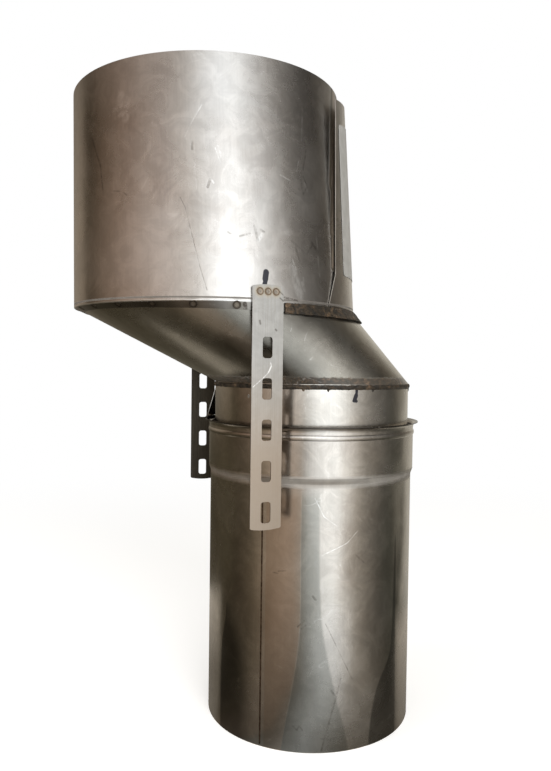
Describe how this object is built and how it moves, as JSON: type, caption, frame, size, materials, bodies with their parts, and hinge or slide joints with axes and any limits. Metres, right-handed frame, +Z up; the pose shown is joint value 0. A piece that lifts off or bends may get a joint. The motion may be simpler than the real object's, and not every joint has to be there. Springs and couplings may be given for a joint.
{
  "type": "flue pot adapter",
  "caption": "Stainless sheet adapter with a wide open sleeve, an oblique offset cone and a round collar that stands in a flue pipe's socket, with slotted side straps.",
  "frame": {"origin": "centre of the flue pipe's bottom edge", "axes": "+Z up along the flue pipe, +X away from the side the wide sleeve is offset to, -Y the side seen in the picture"},
  "size_m": [0.3443, 0.2774, 0.6032],
  "materials": {
    "pipe_sheet": "mill-finished stainless sheet, heat-stained",
    "pipe_seam": "dull welded seam",
    "rope": "sooted woven rope",
    "collar_sheet": "mill-finished stainless sheet",
    "cone_sheet": "mill-finished stainless sheet",
    "sleeve_sheet": "mill-finished stainless sheet",
    "flange_welds": "heat-stained weld",
    "front_strap_sheet": "satin stainless strip",
    "front_welds": "straw-coloured weld",
    "rear_strap_sheet": "satin stainless strip",
    "rear_welds": "straw-coloured weld",
    "upper_sealant": "burnt sealant",
    "lower_sealant": "burnt sealant",
    "label_film": "plain matt film"
  },
  "bodies": {
    "flue_pipe": {"flue_pipe": "pipe_sheet", "pipe_seam_weld": "pipe_seam"},
    "sealing_rope": {"socket_sealing_rope": "rope"},
    "adapter": {"lower_collar": "collar_sheet", "offset_cone": "cone_sheet", "upper_sleeve": "sleeve_sheet", "flange_spot_welds": "flange_welds", "front_strap": "front_strap_sheet", "front_strap_welds": "front_welds", "rear_strap": "rear_strap_sheet", "rear_strap_welds": "rear_welds", "upper_seam_sealant": "upper_sealant", "lower_seam_sealant": "lower_sealant", "blank_label": "label_film"}
  },
  "joints": [
    {"name": "adapter_lift", "type": "slide", "parent": "flue_pipe", "child": "sealing_rope", "axis": [0, 0, 1], "range_m": [0, 0.09]},
    {"name": "adapter_turn", "type": "hinge", "parent": "sealing_rope", "child": "adapter", "pos_m": [0, 0, 0.284], "axis": [0, 0, 1], "continuous": true}
  ]
}
